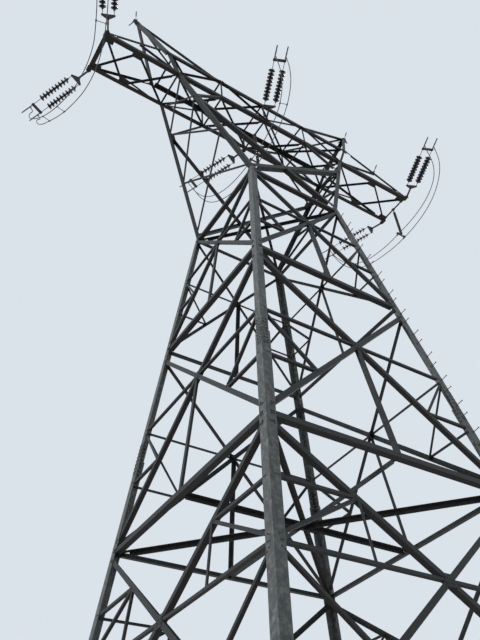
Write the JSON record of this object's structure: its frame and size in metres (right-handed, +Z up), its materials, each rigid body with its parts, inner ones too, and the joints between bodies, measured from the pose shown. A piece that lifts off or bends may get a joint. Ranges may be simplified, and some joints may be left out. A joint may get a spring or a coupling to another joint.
{
  "type": "lattice transmission pylon",
  "caption": "Free-standing lattice steel strain tower with a narrow waist, forked head, flat crossarm, two earth wire peaks and strain insulators.",
  "frame": {"origin": "on the ground, at the centre of the square of feet", "axes": "+Z up, X along the crossarm, Y along the line, front face to -Y"},
  "size_m": [15.8063, 9.73, 30],
  "materials": {
    "galvanised_legs": "weathered",
    "galvanised_steel": "weathered",
    "strain_hardware": "glazed",
    "post_insulator": "glazed",
    "aluminium_conductor": "weathered"
  },
  "bodies": {
    "root": {"leg_front_left": "galvanised_legs", "leg_front_right": "galvanised_legs", "leg_back_right": "galvanised_legs", "leg_back_left": "galvanised_legs", "bracing_front_low": "galvanised_steel", "bracing_right_low": "galvanised_steel", "bracing_back_low": "galvanised_steel", "bracing_left_low": "galvanised_steel", "bracing_front_middle": "galvanised_steel", "bracing_right_middle": "galvanised_steel", "bracing_back_middle": "galvanised_steel", "bracing_left_middle": "galvanised_steel", "bracing_front_high": "galvanised_steel", "bracing_right_high": "galvanised_steel", "bracing_back_high": "galvanised_steel", "bracing_left_high": "galvanised_steel", "lower_diaphragm": "galvanised_steel", "waist_frame": "galvanised_steel", "fork_side_left": "galvanised_steel", "fork_side_right": "galvanised_steel", "fork_crossing_front": "galvanised_steel", "fork_crossing_back": "galvanised_steel", "bottom_chord_front": "galvanised_steel", "bottom_chord_back": "galvanised_steel", "crossarm_floor": "galvanised_steel", "bridge_truss_front": "galvanised_steel", "bridge_truss_back": "galvanised_steel", "bridge_roof": "galvanised_steel", "arm_ties_left": "galvanised_steel", "arm_ties_right": "galvanised_steel", "peak_left": "galvanised_steel", "peak_right": "galvanised_steel", "strain_set_left_front": "strain_hardware", "strain_set_left_back": "strain_hardware", "strain_set_middle_front": "strain_hardware", "strain_set_middle_back": "strain_hardware", "strain_set_right_front": "strain_hardware", "strain_set_right_back": "strain_hardware", "jumper_left_outer": "aluminium_conductor", "jumper_left_inner": "aluminium_conductor", "jumper_middle_outer": "aluminium_conductor", "jumper_middle_inner": "aluminium_conductor", "jumper_right_outer": "aluminium_conductor", "jumper_right_inner": "aluminium_conductor", "jumper_post": "post_insulator"}
  },
  "joints": []
}
